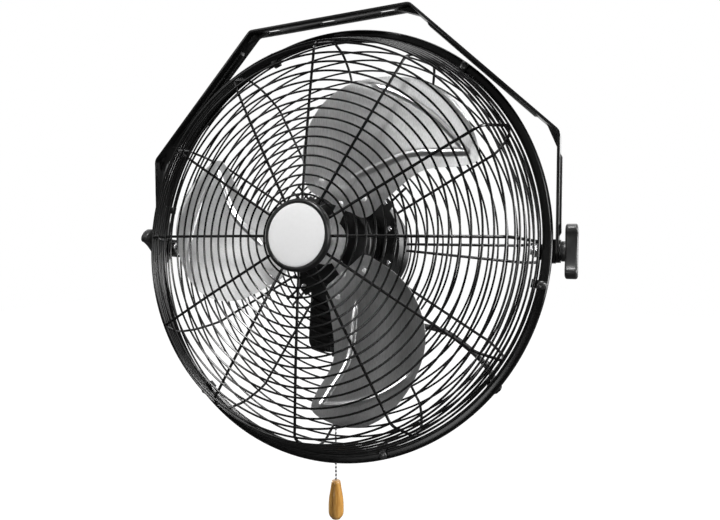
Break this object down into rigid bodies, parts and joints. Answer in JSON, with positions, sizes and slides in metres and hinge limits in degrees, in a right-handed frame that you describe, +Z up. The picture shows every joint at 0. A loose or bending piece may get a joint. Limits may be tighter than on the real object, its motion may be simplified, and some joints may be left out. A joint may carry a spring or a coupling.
{
  "type": "wall mounted fan",
  "caption": "Caged axial fan with pressed blades, hung in a bent strip yoke with wing knobs, with a pull-chain switch under the motor.",
  "frame": {"origin": "middle of the top face of the yoke's bar, over its middle slot, where the part is fastened", "axes": "+Z up, square to the bar; the fan blows toward -Y; +X to the right seen from the front, along the tilt axis"},
  "size_m": [0.5892, 0.2081, 0.6729],
  "materials": {
    "black_enamel": "glossy black enamel on steel wire and tube",
    "black_paint": "satin black powder paint on steel sheet",
    "aluminium_sheet": "rolled aluminium sheet",
    "zinc": "bright zinc plate",
    "steel": "ground steel",
    "copper": "varnished copper winding",
    "white_plastic": "smooth white plastic",
    "black_plastic": "moulded black plastic",
    "oak": "varnished turned wood",
    "lead_rubber": "black sheathed cable"
  },
  "bodies": {
    "bracket": {"yoke_bracket": "black_paint"},
    "head": {"front_guard": "black_enamel", "rear_guard": "black_enamel", "guard_ring": "black_enamel", "guard_clip_1": "black_paint", "guard_clip_2": "black_paint", "guard_clip_3": "black_paint", "guard_clip_4": "black_paint", "guard_clip_5": "black_paint", "guard_clip_6": "black_paint", "hub_bezel": "black_plastic", "hub_disc": "white_plastic", "motor_front_bell": "black_paint", "motor_rear_bell": "black_paint", "front_bearing": "steel", "rear_bearing": "steel", "motor_mount_plate": "black_paint", "stator": "steel", "front_winding": "copper", "rear_winding": "copper", "switch_box": "black_plastic", "switch_box_cover": "black_plastic", "pull_switch": "black_plastic", "run_capacitor": "black_plastic", "switch_nozzle": "zinc", "lead_gland": "black_plastic", "motor_lead": "lead_rubber", "lead_relief": "black_plastic", "right_pivot_plate": "black_paint", "right_pivot_block": "black_paint", "right_pivot_bolt": "zinc", "right_pivot_nut": "zinc", "right_washer": "black_paint", "left_pivot_plate": "black_paint", "left_pivot_block": "black_paint", "left_pivot_bolt": "zinc", "left_pivot_nut": "zinc", "left_washer": "black_paint"},
    "rotor": {"blade_1": "aluminium_sheet", "blade_2": "aluminium_sheet", "blade_3": "aluminium_sheet", "spider": "aluminium_sheet", "hub_collar": "zinc", "shaft_nut": "zinc", "motor_shaft": "steel", "rotor_core": "steel"},
    "right_knob": {"right_knob": "black_plastic"},
    "left_knob": {"left_knob": "black_plastic"},
    "pull": {"pull_stem": "zinc"},
    "chain": {"bead_chain": "zinc", "pull_handle": "oak"}
  },
  "joints": [
    {"name": "head_tilt", "type": "hinge", "parent": "bracket", "child": "head", "pos_m": [0, 0, -0.2865], "axis": [1, 0, 0], "range_deg": [-83.4, 96.5]},
    {"name": "fan_spin", "type": "hinge", "parent": "head", "child": "rotor", "pos_m": [0, -0.01442, -0.27628], "axis": [0, 0.9934, -0.1145], "continuous": true},
    {"name": "right_knob_turn", "type": "hinge", "parent": "head", "child": "right_knob", "pos_m": [0.285, 0, -0.2865], "axis": [1, 0, 0], "continuous": true},
    {"name": "left_knob_turn", "type": "hinge", "parent": "head", "child": "left_knob", "pos_m": [-0.285, 0, -0.2865], "axis": [1, 0, 0], "continuous": true},
    {"name": "chain_pull", "type": "slide", "parent": "head", "child": "pull", "axis": [0, -0.1145, -0.9934], "range_m": [0, 0.008], "stiffness_N_per_m": 900},
    {"name": "chain_swing", "type": "hinge", "parent": "pull", "child": "chain", "pos_m": [-0.021, 0.05918, -0.4426], "axis": [1, 0, 0], "range_deg": [-28, 60]}
  ]
}
